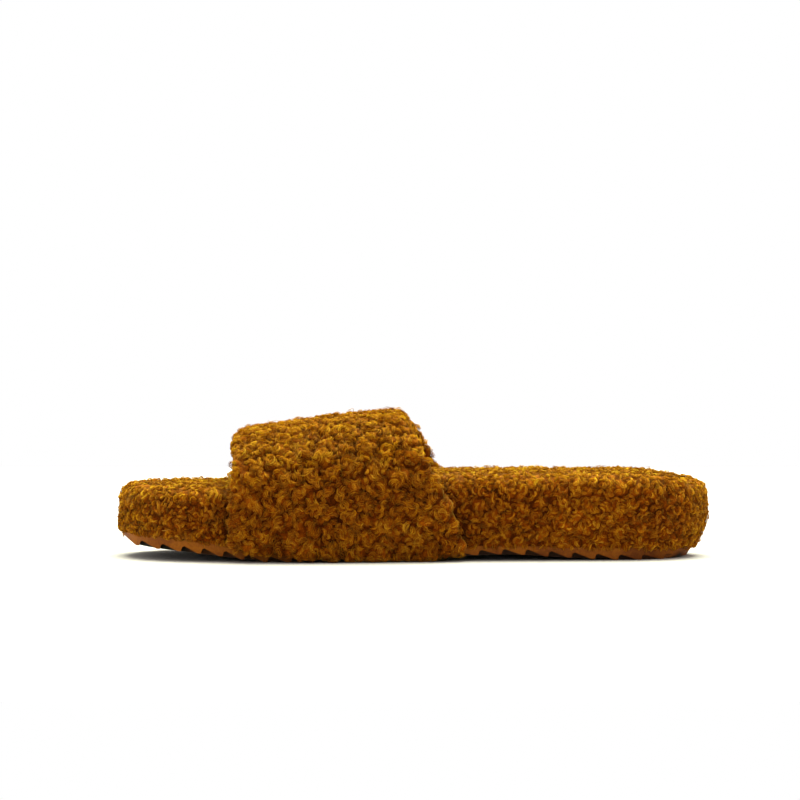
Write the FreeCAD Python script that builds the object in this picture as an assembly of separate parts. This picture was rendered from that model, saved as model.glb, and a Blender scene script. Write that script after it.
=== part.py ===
# Fluffy slide slipper, left foot: ripple outsole, foam platform wrapped in curly fleece,
# cushioned footbed and one wide padded fleece strap.
# Frame: millimetres, +Z up, toe towards -Y, heel towards +Y, outer (little toe) side towards +X.
# The origin is on the ground, at the middle of the bounding box.
import FreeCAD, Part
import math
import os

V = FreeCAD.Vector

# ---------------------------------------------------------------- driving dimensions
LENGTH = 272.0            # over the fleece, toe to heel
PITCH = 10.65             # of the ripple teeth, closer together up the toe
TOE_TIPS = [-134.0, -125.3, -115.5, -105.7, -96.5, -86.6, -76.8]
LAST_TIP = 124.9          # rearmost tooth
TOOTH_DEPTH = 2.4
WEB_IN = 7.5              # the teeth's grooves run in this far from the sides, to a plain web along the middle
TIP_LAND = 1.5            # flat at each tooth's tip
FLEECE = 4.4              # backing plus pile, on top of the platform
HEM_T = 1.5               # turned-under fabric and filler, between platform and outsole
HEM_W = 13.0              # how far the wrap and the strap's tabs are turned under
CORE_IN = 6.0             # from the outside of the fleece to the foam core
BOARD_T = 2.0
PAD_T = 5.0
SOCK_T = 3.6
SOCK_DROP = 1.2           # the sock lies this much below the wrap's rim
RIM = 9.0                 # from the outside of the wrap to the seam with the sock
TOP_ROUND = 7.5
LINING_T = 2.2
STRAP_SIDE_T = 6.4        # the whole strap beside the platform
STRAP_TOP_T = 8.8         # the whole strap over the instep
FOAM_SIDE_T = 0.9
FOAM_TOP_T = 2.8
TAPE_T, TAPE_W = 0.5, 8.0
EDGE_TURN = 5.0           # turned edge of the outer fleece, front and rear
THREAD = 0.8
CLEAR = 0.3               # between the strap and the platform's side

# Side profiles along Y (toe -135, heel +135).
TIP_LINE = [(-140, 7.9), (-134, 7.4), (-125, 6.1), (-115, 5.2), (-106, 4.6), (-97, 3.8), (-88, 2.8), (-77, 1.3),
            (-67, 0.2), (-60, 0), (-5, 0), (8, 0.6), (19, 1.7), (30, 2.6), (41, 2.9), (51, 2.7), (62, 1.9), (72, 1.3),
            (82, 0.7), (92, 0.3), (103, 0), (115, 0), (125, 0.5), (136, 1.2), (140, 1.4)]
SOLE_TOP = [(-142, 13.6), (-135, 13.0), (-126, 12.2), (-106, 10.4), (-88, 8.8), (-70, 7.1), (-52, 6.4), (-20, 6.3),
            (10, 6.4), (40, 6.9), (75, 5.9), (110, 5.3), (135, 5.5), (142, 5.7)]
RIM_TOP = [(-142, 33.2), (-135, 33.3), (-122, 33.2), (-100, 32.8), (-80, 33.3), (-60, 34.5), (-40, 35.9), (-20, 37.1),
           (0, 38.0), (18, 38.4), (40, 38.5), (98, 38.5), (113, 37.9), (126, 36.8), (135, 35.6), (142, 34.6)]
STRAP_TOP = [(-100, 54.8), (-80, 58.0), (-60, 61.2), (-40, 64.0), (-20, 66.3), (0, 67.6), (20, 68.4), (40, 68.8)]

# Half-plan of the fleece: distance from heel, outer side x, inner side x.
PLAN = [(4.5, 17.2, -17.6), (13, 27.2, -27.6), (27, 33.9, -33.6), (48.5, 37.2, -35.8), (76, 38.6, -35.5),
        (106, 40.4, -34.6), (136, 44.2, -36.2), (164, 48.0, -41.0), (189, 50.2, -45.6), (211.5, 49.8, -48.0),
        (232, 46.6, -46.6), (249, 39.8, -41.4), (261, 29.4, -32.2), (268.5, 16.6, -21.2)]
HEEL_TIP, TOE_TIP = (0.0, 0.0), (LENGTH, -3.2)

# Strap: side-on outline of its front and rear edges, as (y, z).
FRONT_EDGE = [(-82.4, 80), (-82.6, 50), (-83.2, 38), (-84.2, 27), (-85.0, 16), (-85.0, 0)]
REAR_EDGE = [(24.5, 0), (24.0, 7), (21.8, 15), (19.0, 23), (15.0, 31), (10.6, 40), (4.2, 53), (-1.6, 62), (-6.4, 68.5), (-9.5, 80)]


# ---------------------------------------------------------------- helpers
def lerp(table, y):
    """Smooth value of a profile at y (monotone cubic)."""
    n = len(table)
    if y <= table[0][0]:
        return table[0][1]
    if y >= table[-1][0]:
        return table[-1][1]
    d = [(table[i + 1][1] - table[i][1]) / (table[i + 1][0] - table[i][0]) for i in range(n - 1)]
    m = [d[0]] + [0.0 if d[i - 1] * d[i] <= 0 else 2 * d[i - 1] * d[i] / (d[i - 1] + d[i]) for i in range(1, n - 1)] + [d[-1]]
    for i in range(n - 1):
        if y <= table[i + 1][0]:
            h = table[i + 1][0] - table[i][0]
            t = (y - table[i][0]) / h
            return ((2 * t ** 3 - 3 * t ** 2 + 1) * table[i][1] + (t ** 3 - 2 * t ** 2 + t) * h * m[i]
                    + (-2 * t ** 3 + 3 * t ** 2) * table[i + 1][1] + (t ** 3 - t ** 2) * h * m[i + 1])
    return table[-1][1]


def plan_points():
    """The outline's points, once round: heel, outer side, toe, inner side."""
    at = lambda s: LENGTH / 2 - s
    pts = [V(HEEL_TIP[1], at(HEEL_TIP[0]), 0)]
    pts += [V(a, at(s), 0) for s, a, b in PLAN]
    pts += [V(TOE_TIP[1], at(TOE_TIP[0]), 0)]
    pts += [V(b, at(s), 0) for s, a, b in reversed(PLAN)]
    return pts


def closed_spline(pts):
    c = Part.BSplineCurve()
    c.interpolate(Points=pts, PeriodicFlag=True)
    return c


BASE = closed_spline(plan_points())
N_OUT = 30


def outline(inset, z=0.0, heel_extra=0.0, toe_extra=0.0):
    """The plan outline, moved inwards by inset, and by heel_extra or toe_extra more at those ends."""
    u0 = BASE.FirstParameter
    length = BASE.length()
    pts = []
    for i in range(N_OUT):
        u = BASE.parameterAtDistance(length * i / N_OUT, u0)
        p, t = BASE.value(u), BASE.tangent(u)[0]
        n = V(t.y, -t.x, 0)
        if n.dot(p - V(0, max(-90, min(95, p.y)), 0)) > 0:
            n = -n
        n.normalize()
        k = max(0.0, min(1.0, (p.y - 95) / 40))
        t = max(0.0, min(1.0, (-p.y - 98) / 38))
        q = p + n * (inset + heel_extra * k * k * (3 - 2 * k) + toe_extra * t * t * (3 - 2 * t))
        pts.append(V(q.x, q.y, z))
    return closed_spline(pts)


def wire(curve):
    return Part.Wire([curve.toShape()])


def prism(inset, z0=-2.0, z1=60.0):
    return Part.Face(wire(outline(inset, z0))).extrude(V(0, 0, z1 - z0))


def loft_z(levels):
    """Solid through plan outlines at several heights: (z, inset, heel_extra, toe_extra)."""
    return Part.makeLoft([wire(outline(d, z, h, t)) for z, d, h, t in levels], True, False)


def spline_edge(pts):
    c = Part.BSplineCurve()
    c.interpolate(Points=pts)
    return c.toShape()


def band(low, high, y0=-141.0, y1=141.0, n=15, half=90.0):
    """The space between two side profiles, right across."""
    ys = [y0 + (y1 - y0) * i / n for i in range(n + 1)]
    lo = [V(-half, y, low(y)) for y in ys]
    hi = [V(-half, y, high(y)) for y in ys]
    w = Part.Wire([spline_edge(lo), Part.makeLine(lo[-1], hi[-1]), spline_edge(list(reversed(hi))), Part.makeLine(hi[0], lo[0])])
    return Part.Face(w).extrude(V(2 * half, 0, 0))


def side_prism(pts, half=90.0):
    """A solid of this side-on outline, right across."""
    p = [V(-half, y, z) for y, z in pts]
    return Part.Face(Part.makePolygon(p + [p[0]])).extrude(V(2 * half, 0, 0))


def biggest(shape, n=1):
    """The n largest solids of a result, as one shape."""
    s = sorted(shape.Solids, key=lambda x: -x.Volume)[:n]
    return s[0] if n == 1 else Part.makeCompound(s)


sole_top = lambda y: lerp(SOLE_TOP, y)
rim_top = lambda y: lerp(RIM_TOP, y)
far_up = lambda y: 90.0
far_down = lambda y: -5.0
PARTS = {}

# ---------------------------------------------------------------- outsole with ripple teeth
tread = [(-146.0, lerp(TIP_LINE, -140))]
tips = [t for t in TOE_TIPS + [TOE_TIPS[-1] + PITCH * i for i in range(1, 22)] if t < LAST_TIP - 5]
for i, tip in enumerate(tips):                  # tip: rear edge of the tooth's land
    z = lerp(TIP_LINE, tip)
    tread += [(tip - TIP_LAND, z), (tip, z), (tip + 0.6, z + TOOTH_DEPTH * 0.8), (tip + 1.6, z + TOOTH_DEPTH)]
z = lerp(TIP_LINE, LAST_TIP)
tread += [(LAST_TIP - TIP_LAND, z), (LAST_TIP, z), (141.0, lerp(TIP_LINE, 139))]
top_line = [(y, sole_top(y)) for y in [141 - 9.4 * k for k in range(31)]]
sole_slab = side_prism(tread + top_line + [(tread[0][0], sole_top(-141))])
# the web is just clear of the ground, and stands out a little past the teeth where the sole curves up
web_low = lambda y: lerp(TIP_LINE, y) + 0.25 - 0.6 * max(0.0, min(1.0, (lerp(TIP_LINE, y) - 0.4) / 1.2))
web = prism(WEB_IN).common(band(web_low, lambda y: sole_top(y) - 1.2))
outsole = loft_z([(-1.0, 2.7, 8.0, 0.6), (7.0, 2.1, 4.1, 0.0), (15.0, 1.7, 2.4, 0.1)]).common(sole_slab.fuse(web))
PARTS["outsole"] = biggest(outsole)

# ---------------------------------------------------------------- platform: fleece envelope, and the layers it holds
ENV_LEVELS = [(2.0, 4.4, 3.0, -1.6), (11.0, 2.1, 1.0, -1.1), (22.0, 0.15, 0, 0), (32.0, 0.15, 0, 0), (46.0, 2.4, 0.6, 0)]
env = biggest(loft_z(ENV_LEVELS).common(band(sole_top, rim_top)))
rim_edges = []
for e in env.Edges:
    ps = [e.valueAt(e.FirstParameter + (e.LastParameter - e.FirstParameter) * k) for k in (0.1, 0.5, 0.9)]
    if all(abs(p.z - rim_top(p.y)) < 0.3 for p in ps):
        rim_edges.append(e)
env = env.makeFillet(TOP_ROUND, rim_edges)

core_top = lambda y: rim_top(y) - FLEECE
sock_top = lambda y: rim_top(y) - SOCK_DROP
sock_under = lambda y: sock_top(y) - SOCK_T
pad_under = lambda y: sock_under(y) - PAD_T
board_under = lambda y: pad_under(y) - BOARD_T
core_prism = prism(CORE_IN)
PARTS["platform_core"] = core_prism.common(band(lambda y: sole_top(y) + HEM_T, board_under))
PARTS["insole_board"] = core_prism.common(band(board_under, pad_under))
PARTS["footbed_pad"] = core_prism.common(band(pad_under, sock_under))
PARTS["sock_cover"] = prism(RIM + THREAD).common(band(sock_under, sock_top))
ring = prism(RIM).cut(prism(RIM + THREAD))
PARTS["sock_seam_thread"] = ring.common(band(lambda y: sock_top(y) - 1.4, lambda y: sock_top(y) - 0.3))
PARTS["bottom_filler"] = prism(HEM_W + THREAD).common(band(sole_top, lambda y: sole_top(y) + HEM_T))
ring = prism(HEM_W).cut(prism(HEM_W + THREAD))
PARTS["lasting_thread"] = ring.common(band(lambda y: sole_top(y) + 0.35, lambda y: sole_top(y) + 0.35 + THREAD))


# ---------------------------------------------------------------- strap
def sampled_plan():
    u0, u1 = BASE.FirstParameter, BASE.LastParameter
    pts = [BASE.value(u0 + (u1 - u0) * k / 700) for k in range(701)]
    out = sorted([(p.y, p.x) for p in pts if p.x > 0 and abs(p.y) < 125])
    inn = sorted([(p.y, -p.x) for p in pts if p.x < 0 and abs(p.y) < 125])
    return out, inn


def at(table, y):
    for a, b in zip(table, table[1:]):
        if a[0] <= y <= b[0] and b[0] > a[0]:
            return a[1] + (b[1] - a[1]) * (y - a[0]) / (b[0] - a[0])
    return table[-1][1]


OUT_X, IN_X = sampled_plan()
# height, and x against the platform's widest point
HUG = [(-3.0, -1.9), (5.0, -1.75), (13.0, -0.75), (21.0, 0.15 + CLEAR - 0.3), (30.0, CLEAR)]
SPRING = 30.0     # the strap leaves the platform's side here


def arch(y, side_t, top_t):
    """Points of the strap's section at y, outer side to inner side, side_t and top_t outside its inner face."""
    wo, wi = at(OUT_X, y), at(IN_X, y)
    xc, a = (wo - wi) / 2, (wo + wi) / 2 + CLEAR + side_t
    h = lerp(STRAP_TOP, y) - STRAP_TOP_T - SPRING + top_t
    right = [V(wo + d + side_t, y, z) for z, d in HUG]
    left = [V(-(wi + d + side_t), y, z) for z, d in reversed(HUG)]
    n = 2.4
    mid = []
    for k in range(1, 12):
        t = math.pi * k / 12
        c, s = math.cos(t), math.sin(t)
        mid.append(V(xc + a * math.copysign(abs(c) ** (2 / n), c), y, SPRING + h * s ** (2 / n)))
    return right + mid + left


STATIONS = [-100, -72, -44, -16, 12, 40]


def shell(s0, t0, s1, t1):
    """The strap's layer from (s0 beside, t0 on top) out to (s1, t1)."""
    wires = []
    for y in STATIONS:
        i, o = arch(y, s0, t0), arch(y, s1, t1)
        wires.append(Part.Wire([spline_edge(o), Part.makeLine(o[-1], i[-1]), spline_edge(list(reversed(i))), Part.makeLine(i[0], o[0])]))
    return Part.makeLoft(wires, True, False)


def side_on(left, right, floor):
    """Solid right across, between two lines going up, above a floor profile."""
    def cut_off(line):
        base = floor(line[0][0])
        kept = [p for p in line[1:] if p[1] > base + 4]
        (y0, z0), (y1, z1) = [p for p in line if p[1] <= base + 4][-1], kept[0]
        y = y0 + (y1 - y0) * max(0.0, base - z0) / (z1 - z0)
        return [V(-90, y, floor(y))] + [V(-90, y, z) for y, z in kept]

    l, r = cut_off(left), cut_off(right)
    ys = [l[0].y + (r[0].y - l[0].y) * k / 6 for k in range(7)]
    f = [V(-90, y, floor(y)) for y in ys]
    if abs(r[0].y - l[0].y) > 15:
        under = spline_edge(f)
    else:
        under = Part.makeLine(f[0], f[-1])
    w = Part.Wire([under, spline_edge(r), Part.makeLine(r[-1], l[-1]), spline_edge(list(reversed(l)))])
    return Part.Face(w).extrude(V(180, 0, 0))


def front(d):
    return [(y + d, z) for y, z in reversed(FRONT_EDGE)]


def rear(d):
    return [(y - d, z) for y, z in REAR_EDGE]


strap_floor = lambda y: lerp(TIP_LINE, y) + 2.0
lasting = lambda y: sole_top(y) + HEM_T + 0.4
inset = EDGE_TURN
gap = EDGE_TURN - THREAD
foam_s, foam_t = LINING_T + FOAM_SIDE_T, LINING_T + FOAM_TOP_T
whole = shell(0, 0, STRAP_SIDE_T, STRAP_TOP_T).common(side_on(front(0), rear(0), strap_floor))
cavity = shell(-1.5, -1.5, foam_s, foam_t).common(side_on(front(gap), rear(gap), lasting))
PARTS["vamp_lining"] = shell(0, 0, LINING_T, LINING_T).common(side_on(front(inset), rear(inset), lasting))
foam = shell(LINING_T, LINING_T, foam_s, foam_t).common(side_on(front(inset), rear(inset), lasting))
tape_shell = shell(LINING_T + 0.15, LINING_T + 0.15, LINING_T + 0.15 + TAPE_T, LINING_T + 0.15 + TAPE_T)
front_tape = tape_shell.common(side_on(front(inset + 2), front(inset + 2 + TAPE_W), lambda y: lasting(y) + 2))
rear_tape = tape_shell.common(side_on(rear(inset + 2 + TAPE_W), rear(inset + 2), lambda y: lasting(y) + 2))
foam = foam.cut(front_tape).cut(rear_tape)
PARTS["vamp_foam"] = foam
PARTS["vamp_front_stay_tape"], PARTS["vamp_rear_stay_tape"] = front_tape, rear_tape
thread_shell = shell(0.6, 0.6, 0.6 + THREAD, 0.6 + THREAD)
PARTS["vamp_front_edge_thread"] = thread_shell.common(side_on(front(gap), front(inset), lasting))
PARTS["vamp_rear_edge_thread"] = thread_shell.common(side_on(rear(inset), rear(gap), lasting))
outer = biggest(whole.cut(cavity))
tab = prism(-0.6).cut(prism(HEM_W)).common(Part.makeBox(180, 103, 60, V(-90, -82, -5)))
tab = tab.common(band(sole_top, lambda y: sole_top(y) + HEM_T))
PARTS["vamp_outer"] = biggest(outer.fuse(tab))

# ---------------------------------------------------------------- platform wrap: a band with one butt seam, under the strap on the inner side
SEAM_Y = -30.0
slot = Part.makeBox(60, THREAD, 60, V(-80, SEAM_Y, -5))
ring = prism(2.6, 10, 30).cut(prism(2.6 + THREAD, 10, 30))
PARTS["wrap_closing_thread"] = ring.common(Part.makeBox(60, THREAD, 16, V(-80, SEAM_Y, 12)))
wrap = env.cut(core_prism.common(band(lambda y: sole_top(y) + HEM_T, core_top)))
wrap = wrap.cut(prism(RIM, 20.0, 60.0))
wrap = wrap.cut(prism(HEM_W, -2.0, 26.0))
wrap = wrap.cut(tab).cut(slot)
PARTS["platform_wrap"] = biggest(wrap)

# ---------------------------------------------------------------- centre on the ground and write
box = FreeCAD.BoundBox()
for s in PARTS.values():
    box.add(s.optimalBoundingBox(False, False) if hasattr(s, "optimalBoundingBox") else s.BoundBox)
move = V(-(box.XMin + box.XMax) / 2, -(box.YMin + box.YMax) / 2, -box.ZMin)
print("bbox", round(box.XLength, 2), round(box.YLength, 2), round(box.ZLength, 2), "move", [round(c, 3) for c in move])
os.makedirs("parts", exist_ok=True)
for f in os.listdir("parts"):
    if f.endswith(".step"):
        os.remove(os.path.join("parts", f))
for name, s in PARTS.items():
    s = s.copy()
    s.translate(move)
    s.exportStep("parts/" + name + ".step")
    print(name, "solids", len(s.Solids), "valid", s.isValid(), "cm3", round(s.Volume / 1000, 2), "faces", len(s.Faces))
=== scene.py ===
import bpy
import math
import time
import numpy as np
from mathutils.kdtree import KDTree
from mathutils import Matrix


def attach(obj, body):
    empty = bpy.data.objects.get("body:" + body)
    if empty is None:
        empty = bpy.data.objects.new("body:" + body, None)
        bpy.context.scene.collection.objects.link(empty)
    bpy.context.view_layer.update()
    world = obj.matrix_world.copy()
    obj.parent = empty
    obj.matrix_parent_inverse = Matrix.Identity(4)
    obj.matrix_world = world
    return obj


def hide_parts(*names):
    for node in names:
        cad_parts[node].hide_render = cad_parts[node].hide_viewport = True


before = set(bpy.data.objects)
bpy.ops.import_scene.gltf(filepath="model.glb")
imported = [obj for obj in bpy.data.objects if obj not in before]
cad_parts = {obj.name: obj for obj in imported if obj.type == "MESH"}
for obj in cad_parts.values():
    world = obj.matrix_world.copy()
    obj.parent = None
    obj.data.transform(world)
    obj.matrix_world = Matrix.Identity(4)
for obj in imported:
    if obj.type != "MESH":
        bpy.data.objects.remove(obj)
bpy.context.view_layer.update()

T0 = time.time()
MM = 0.001
SHIFT = np.array([-1.142, -0.103, 0.0])       # the CAD model's last move, in mm
LENGTH = 272.0
RIM, SOCK_DROP, STRAP_SIDE_T, STRAP_TOP_T, CLEAR, SPRING = 9.0, 1.2, 6.4, 8.8, 0.3, 30.0


# ------------------------------------------------------------------ profiles, as in the CAD model (mm)
def profile(pts):
    """A smooth (monotone cubic) profile through these points."""
    x = np.array([p[0] for p in pts], float)
    v = np.array([p[1] for p in pts], float)
    d = np.diff(v) / np.diff(x)
    m = np.zeros(len(x))
    m[0], m[-1] = d[0], d[-1]
    for i in range(1, len(x) - 1):
        m[i] = 0.0 if d[i - 1] * d[i] <= 0 else 2 * d[i - 1] * d[i] / (d[i - 1] + d[i])

    def at(y):
        y = np.clip(y, x[0], x[-1])
        i = np.clip(np.searchsorted(x, y, side="right") - 1, 0, len(x) - 2)
        h = x[i + 1] - x[i]
        t = (y - x[i]) / h
        return ((2 * t ** 3 - 3 * t ** 2 + 1) * v[i] + (t ** 3 - 2 * t ** 2 + t) * h * m[i]
                + (-2 * t ** 3 + 3 * t ** 2) * v[i + 1] + (t ** 3 - t ** 2) * h * m[i + 1])
    return at


tip_line = profile([(-140, 7.9), (-134, 7.4), (-125, 6.1), (-115, 5.2), (-106, 4.6), (-97, 3.8), (-88, 2.8), (-77, 1.3),
                    (-67, 0.2), (-60, 0), (-5, 0), (8, 0.6), (19, 1.7), (30, 2.6), (41, 2.9), (51, 2.7), (62, 1.9), (72, 1.3),
                    (82, 0.7), (92, 0.3), (103, 0), (115, 0), (125, 0.5), (136, 1.2), (140, 1.4)])
sole_top = profile([(-142, 13.6), (-135, 13.0), (-126, 12.2), (-106, 10.4), (-88, 8.8), (-70, 7.1), (-52, 6.4), (-20, 6.3),
                    (10, 6.4), (40, 6.9), (75, 5.9), (110, 5.3), (135, 5.5), (142, 5.7)])
rim_top = profile([(-142, 33.2), (-135, 33.3), (-122, 33.2), (-100, 32.8), (-80, 33.3), (-60, 34.5), (-40, 35.9), (-20, 37.1),
                   (0, 38.0), (18, 38.4), (40, 38.5), (98, 38.5), (113, 37.9), (126, 36.8), (135, 35.6), (142, 34.6)])
strap_top = profile([(-100, 54.8), (-80, 58.0), (-60, 61.2), (-40, 64.0), (-20, 66.3), (0, 67.6), (20, 68.4), (40, 68.8)])
PLAN = [(4.5, 17.2, -17.6), (13, 27.2, -27.6), (27, 33.9, -33.6), (48.5, 37.2, -35.8), (76, 38.6, -35.5),
        (106, 40.4, -34.6), (136, 44.2, -36.2), (164, 48.0, -41.0), (189, 50.2, -45.6), (211.5, 49.8, -48.0),
        (232, 46.6, -46.6), (249, 39.8, -41.4), (261, 29.4, -32.2), (268.5, 16.6, -21.2)]
HEEL_TIP, TOE_TIP = (0.0, 0.0), (LENGTH, -3.2)
FRONT_EDGE = [(-82.4, 80), (-82.6, 50), (-83.2, 38), (-84.2, 27), (-85.0, 16), (-85.0, 0)]
REAR_EDGE = [(24.5, 0), (24.0, 7), (21.8, 15), (19.0, 23), (15.0, 31), (10.6, 40), (4.2, 53), (-1.6, 62), (-6.4, 68.5), (-9.5, 80)]
front_y = profile([(z, y) for y, z in reversed(FRONT_EDGE)])
rear_y = profile([(z, y) for y, z in REAR_EDGE])
env_inset = profile([(2, 4.4), (11, 2.1), (22, 0.15), (32, 0.15), (46, 2.4)])
env_heel = profile([(2, 3.0), (11, 1.0), (22, 0.4), (30, 1.1), (46, 1.2)])
env_toe = profile([(2, -1.6), (9, -1.1), (15, 0.7), (22, 1.0), (33, 0.9), (46, 0.6)])


def smooth(k):
    k = np.clip(k, 0, 1)
    return k * k * (3 - 2 * k)


def closed_spline(pts, per=40):
    """Points along the closed cubic spline through pts."""
    P = np.array(pts, float)
    m = len(P)
    h = np.linalg.norm(np.roll(P, -1, 0) - P, axis=1)
    A, R = np.zeros((m, m)), np.zeros((m, 2))
    for i in range(m):
        j, k = (i - 1) % m, (i + 1) % m
        A[i, j] += h[j]
        A[i, i] += 2 * (h[j] + h[i])
        A[i, k] += h[i]
        R[i] = 6 * ((P[k] - P[i]) / h[i] - (P[i] - P[j]) / h[j])
    M = np.linalg.solve(A, R)
    out = []
    for i in range(m):
        k = (i + 1) % m
        t = np.linspace(0, h[i], per, endpoint=False)[:, None]
        a, b = h[i] - t, t
        out.append(M[i] * a ** 3 / (6 * h[i]) + M[k] * b ** 3 / (6 * h[i]) + (P[i] / h[i] - M[i] * h[i] / 6) * a + (P[k] / h[i] - M[k] * h[i] / 6) * b)
    return np.concatenate(out)


def evenly(P, n, closed):
    """P resampled at n points, evenly spaced along it."""
    Q = np.concatenate([P, P[:1]]) if closed else P
    s = np.concatenate([[0], np.cumsum(np.linalg.norm(np.diff(Q, axis=0), axis=1))])
    want = np.linspace(0, s[-1], n, endpoint=not closed)
    return np.stack([np.interp(want, s, Q[:, k]) for k in range(Q.shape[1])], axis=1)


_plan = [(HEEL_TIP[1], LENGTH / 2)] + [(a, LENGTH / 2 - s) for s, a, b in PLAN] + [(TOE_TIP[1], LENGTH / 2 - TOE_TIP[0])] \
    + [(b, LENGTH / 2 - s) for s, a, b in reversed(PLAN)]
FINE = closed_spline(_plan)
side = np.array(sorted([(p[1], p[0]) for p in FINE if p[0] > 0 and abs(p[1]) < 125]))
outer_x = lambda y: np.interp(y, side[:, 0], side[:, 1])
side2 = np.array(sorted([(p[1], -p[0]) for p in FINE if p[0] < 0 and abs(p[1]) < 125]))
inner_x = lambda y: np.interp(y, side2[:, 0], side2[:, 1])


def ring(n):
    """n points round the plan outline, and their outward normals."""
    P = evenly(FINE, n, True)
    T = np.roll(P, -1, 0) - np.roll(P, 1, 0)
    N = np.stack([T[:, 1], -T[:, 0]], 1)
    N /= np.linalg.norm(N, axis=1)[:, None]
    C = np.stack([np.zeros(n), np.clip(P[:, 1], -90, 95)], 1)
    N *= np.sign(np.einsum("ij,ij->i", N, P - C))[:, None]
    return P, N


# ------------------------------------------------------------------ mesh building
def unit(v):
    return v / np.maximum(np.linalg.norm(v, axis=-1, keepdims=True), 1e-12)


def grid_normals(G, wrap_v, wrap_u):
    """Normals of a grid of points; du x dv points out."""
    def diff(A, ax, wrap):
        if wrap:
            return np.roll(A, -1, ax) - np.roll(A, 1, ax)
        return np.gradient(A, axis=ax)
    return unit(np.cross(diff(G, 1, wrap_u), diff(G, 0, wrap_v)))


def grid_faces(nv, nu, wrap_v, wrap_u, start=0):
    v = np.arange(nv if wrap_v else nv - 1)
    u = np.arange(nu if wrap_u else nu - 1)
    V, U = np.meshgrid(v, u, indexing="ij")
    V2, U2 = (V + 1) % nv, (U + 1) % nu
    q = np.stack([V * nu + U, V * nu + U2, V2 * nu + U2, V2 * nu + U], -1).reshape(-1, 4) + start
    ends = np.stack([V, U], -1).reshape(-1, 2)
    return q, ends


def build(name, verts, faces, uvs, tone, hue, lock, material, lit_gold=None):
    """Mesh object. faces: list of arrays (n, 3 or 4); uvs: matching (n, 3 or 4, 2). Lengths in mm here."""
    me = bpy.data.meshes.new(name)
    loops = np.concatenate([f.ravel() for f in faces]).astype(np.int32)
    counts = np.concatenate([np.full(len(f), f.shape[1], np.int32) for f in faces])
    starts = np.concatenate([[0], np.cumsum(counts)[:-1]]).astype(np.int32)
    me.vertices.add(len(verts))
    me.vertices.foreach_set("co", ((verts + SHIFT) * MM).astype(np.float32).ravel())
    me.loops.add(len(loops))
    me.loops.foreach_set("vertex_index", loops)
    me.polygons.add(len(counts))
    me.polygons.foreach_set("loop_start", starts)
    me.update(calc_edges=True)
    me.validate()
    me.shade_smooth()
    uv = me.uv_layers.new(name="OFBake")
    uv.data.foreach_set("uv", np.concatenate([u.reshape(-1, 2) for u in uvs]).astype(np.float32).ravel())
    for key, val in (("tone", tone), ("hue", hue), ("lit_gold", tone * 0 if lit_gold is None else lit_gold)):
        a = me.attributes.new(key, "FLOAT", "POINT")
        a.data.foreach_set("value", val.astype(np.float32))
    a = me.attributes.new("lock", "FLOAT_VECTOR", "POINT")
    a.data.foreach_set("vector", lock.astype(np.float32).ravel())
    me.materials.append(material)
    o = bpy.data.objects.new(name, me)
    bpy.context.scene.collection.objects.link(o)
    return o


def darts(G, mask, spacing, rng, wrap_v, wrap_u):
    """Evenly scattered points on the part of a grid surface where mask > 0.5: (v, u) as floats."""
    G4 = G
    nv, nu = G.shape[:2]
    q, ends = grid_faces(nv, nu, wrap_v, wrap_u)
    F = G4.reshape(-1, 3)
    area = np.linalg.norm(np.cross(F[q[:, 1]] - F[q[:, 0]], F[q[:, 3]] - F[q[:, 0]]), axis=1)
    area *= mask.reshape(-1)[q[:, 0]] > 0.5
    n = int(area.sum() / spacing ** 2 * 12)
    pick = rng.choice(len(q), n, p=area / area.sum())
    fv, fu = rng.random(n), rng.random(n)
    w = [(1 - fv) * (1 - fu), (1 - fv) * fu, fv * fu, fv * (1 - fu)]
    pts = sum(w[k][:, None] * F[q[pick, k]] for k in range(4))
    cells, keep = {}, []
    c = np.floor(pts / spacing).astype(int)
    s2 = spacing ** 2
    P = pts.tolist()
    for i, (a, b, d) in enumerate(c.tolist()):
        x, y, z = P[i]
        ok = True
        for da in (-1, 0, 1):
            for db in (-1, 0, 1):
                for dd in (-1, 0, 1):
                    j = cells.get((a + da, b + db, d + dd))
                    if j is not None:
                        for k in j:
                            r = P[k]
                            if (r[0] - x) ** 2 + (r[1] - y) ** 2 + (r[2] - z) ** 2 < s2:
                                ok = False
                                break
                    if not ok:
                        break
                if not ok:
                    break
            if not ok:
                break
        if ok:
            cells.setdefault((a, b, d), []).append(i)
            keep.append(i)
    keep = np.array(keep)
    return pts[keep], q[pick[keep]], np.stack([w[k][keep] for k in range(4)], 1)


def warp(F, size):
    """Points moved a little this way and that, so that the tufts' outlines aren't regular."""
    q = F * (2 * math.pi / (size * 1.9))
    return F + 0.20 * size * np.stack([np.sin(q[:, 1] + 1.7 * np.sin(q[:, 2] * 0.7)), np.sin(q[:, 2] + 1.9 * np.sin(q[:, 0] * 0.8)),
                                       np.sin(q[:, 0] + 1.6 * np.sin(q[:, 1] * 0.9))], 1)


def tree(P):
    kd = KDTree(len(P))
    for i, c in enumerate(P.tolist()):
        kd.insert(c, i)
    kd.balance()
    return kd


def clumps(points, centres, spacing, size):
    """For each point: how far it stands in its clump (0 in the crevices, 1 on top), and the clump's index. size: each clump's own."""
    kd = tree(centres)
    h, idx = np.zeros(len(points)), np.zeros(len(points), int)
    z = size.tolist()
    for i, p in enumerate(points.tolist()):
        near = sorted((r[2] - z[r[1]], r[1]) for r in kd.find_n(p, 4))
        h[i] = min(1.0, (near[1][0] - near[0][0]) / (0.8 * spacing))
        idx[i] = near[0][1]
    return 1 - (1 - h) ** 2, idx


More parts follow.
